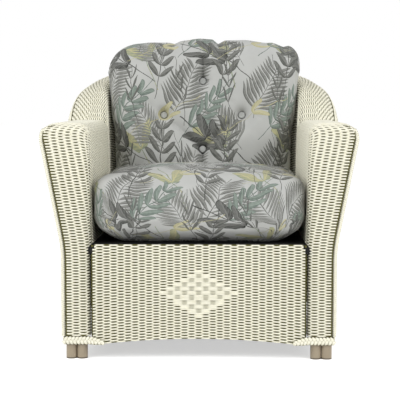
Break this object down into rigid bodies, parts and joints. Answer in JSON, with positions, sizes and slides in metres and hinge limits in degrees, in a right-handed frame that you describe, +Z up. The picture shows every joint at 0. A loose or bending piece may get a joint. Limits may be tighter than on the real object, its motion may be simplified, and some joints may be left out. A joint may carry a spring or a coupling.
{
  "type": "outdoor lounge chair",
  "caption": "Deep-seating lounge chair of woven strand with an arched barrel back, flared rolled arms, a woven apron, a loose seat cushion and a button-tufted back cushion.",
  "frame": {"origin": "on the floor, under the middle of the chair's bounding box", "axes": "+Z up; -Y is the way the chair faces; +X is to the right for someone who looks at its front"},
  "size_m": [0.8802, 0.921, 0.9153],
  "materials": {
    "woven_strand": "satin",
    "braided_strand": "satin",
    "painted_tube": "satin",
    "glides": "matte",
    "webbing": "matte",
    "deck_cloth": "matte",
    "rivets": "satin",
    "cushion_fabric": "matte",
    "foam": "matte",
    "zip": "matte",
    "twine": "matte",
    "anchor_buttons": "satin"
  },
  "bodies": {
    "frame": {"apron_hem_rod": "painted_tube", "apron_weave": "woven_strand", "back_hem_rod": "painted_tube", "back_inner_weave": "woven_strand", "back_outer_weave": "woven_strand", "back_rim_braid": "braided_strand", "back_rim_tube": "painted_tube", "cross_straps": "webbing", "deck_cloth": "deck_cloth", "front_seat_rail": "painted_tube", "left_arm_front_weave": "woven_strand", "left_arm_inner_weave": "woven_strand", "left_arm_outer_weave": "woven_strand", "left_arm_rail": "painted_tube", "left_arm_rim_braid": "braided_strand", "left_back_strut": "painted_tube", "left_edge_braid": "braided_strand", "left_foot_braid": "braided_strand", "left_front_hoop": "painted_tube", "left_rear_leg": "painted_tube", "left_seat_side_rail": "painted_tube", "left_side_hem_rod": "painted_tube", "leg_glides": "glides", "long_straps": "webbing", "rear_seat_rail": "painted_tube", "right_arm_front_weave": "woven_strand", "right_arm_inner_weave": "woven_strand", "right_arm_outer_weave": "woven_strand", "right_arm_rail": "painted_tube", "right_arm_rim_braid": "braided_strand", "right_back_strut": "painted_tube", "right_edge_braid": "braided_strand", "right_foot_braid": "braided_strand", "right_front_hoop": "painted_tube", "right_rear_leg": "painted_tube", "right_seat_side_rail": "painted_tube", "right_side_hem_rod": "painted_tube", "strap_rivets": "rivets"},
    "seat_cushion": {"seat_cushion_core": "foam", "seat_cushion_cover": "cushion_fabric", "seat_cushion_zip": "zip"},
    "back_cushion": {"back_anchor_buttons": "anchor_buttons", "back_cushion_buttons": "cushion_fabric", "back_cushion_core": "foam", "back_cushion_cover": "cushion_fabric", "tufting_twine": "twine"}
  },
  "joints": [
    {"name": "seat_cushion_lift_out", "type": "slide", "parent": "frame", "child": "seat_cushion", "axis": [0, -0.9397, 0.342], "range_m": [0, 0.62]},
    {"name": "back_cushion_lift_out", "type": "slide", "parent": "frame", "child": "back_cushion", "axis": [0, 0, 1], "range_m": [0, 0.62]}
  ]
}
